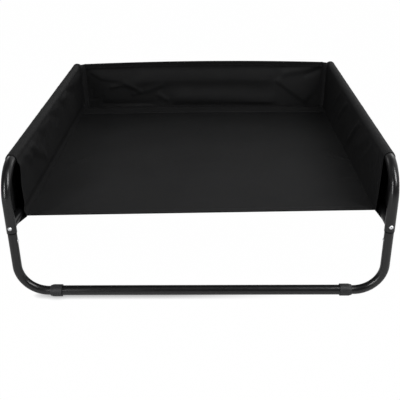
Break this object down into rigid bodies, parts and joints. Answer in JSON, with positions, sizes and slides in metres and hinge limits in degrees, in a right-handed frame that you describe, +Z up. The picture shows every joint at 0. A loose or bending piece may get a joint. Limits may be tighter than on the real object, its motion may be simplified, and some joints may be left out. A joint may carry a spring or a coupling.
{
  "type": "raised dog cot",
  "caption": "Raised dog cot: a bent steel tube frame on crossbars with foot collars carries a stretched cloth floor, double side walls and a back wall, open at the front.",
  "frame": {"origin": "on the floor, below the middle of the cot", "axes": "+Z up, the open front faces -Y, +X to the right as seen from the front"},
  "size_m": [0.831, 0.9306, 0.3155],
  "materials": {
    "powder_coat": "black gloss powder coat",
    "collar_plastic": "black moulded plastic, satin",
    "plug_plastic": "black moulded plastic",
    "zinc_plate": "bright zinc plate",
    "cover_cloth": "dark coated polyester weave, faint sheen",
    "hem_cloth": "the same cloth, folded and stitched"
  },
  "bodies": {
    "root": {"side_rail_left": "powder_coat", "side_rail_right": "powder_coat", "side_bar_left": "powder_coat", "side_bar_right": "powder_coat", "corner_leg_front_left": "powder_coat", "corner_leg_front_right": "powder_coat", "corner_leg_rear_left": "powder_coat", "corner_leg_rear_right": "powder_coat", "crossbar_front": "powder_coat", "crossbar_rear": "powder_coat", "foot_collar_front_left": "collar_plastic", "foot_collar_front_right": "collar_plastic", "foot_collar_rear_left": "collar_plastic", "foot_collar_rear_right": "collar_plastic", "bar_plug_front_left": "plug_plastic", "bar_plug_front_right": "plug_plastic", "bar_plug_rear_left": "plug_plastic", "bar_plug_rear_right": "plug_plastic", "plug_nuts": "zinc_plate", "frame_screws": "zinc_plate", "leg_rivets": "zinc_plate", "floor_panel": "cover_cloth", "side_wall_left": "cover_cloth", "side_wall_right": "cover_cloth", "back_wall": "cover_cloth", "front_hem": "hem_cloth", "back_top_hem": "hem_cloth", "back_floor_strip": "hem_cloth", "back_corner_strip_left": "hem_cloth", "back_corner_strip_right": "hem_cloth"}
  },
  "joints": []
}
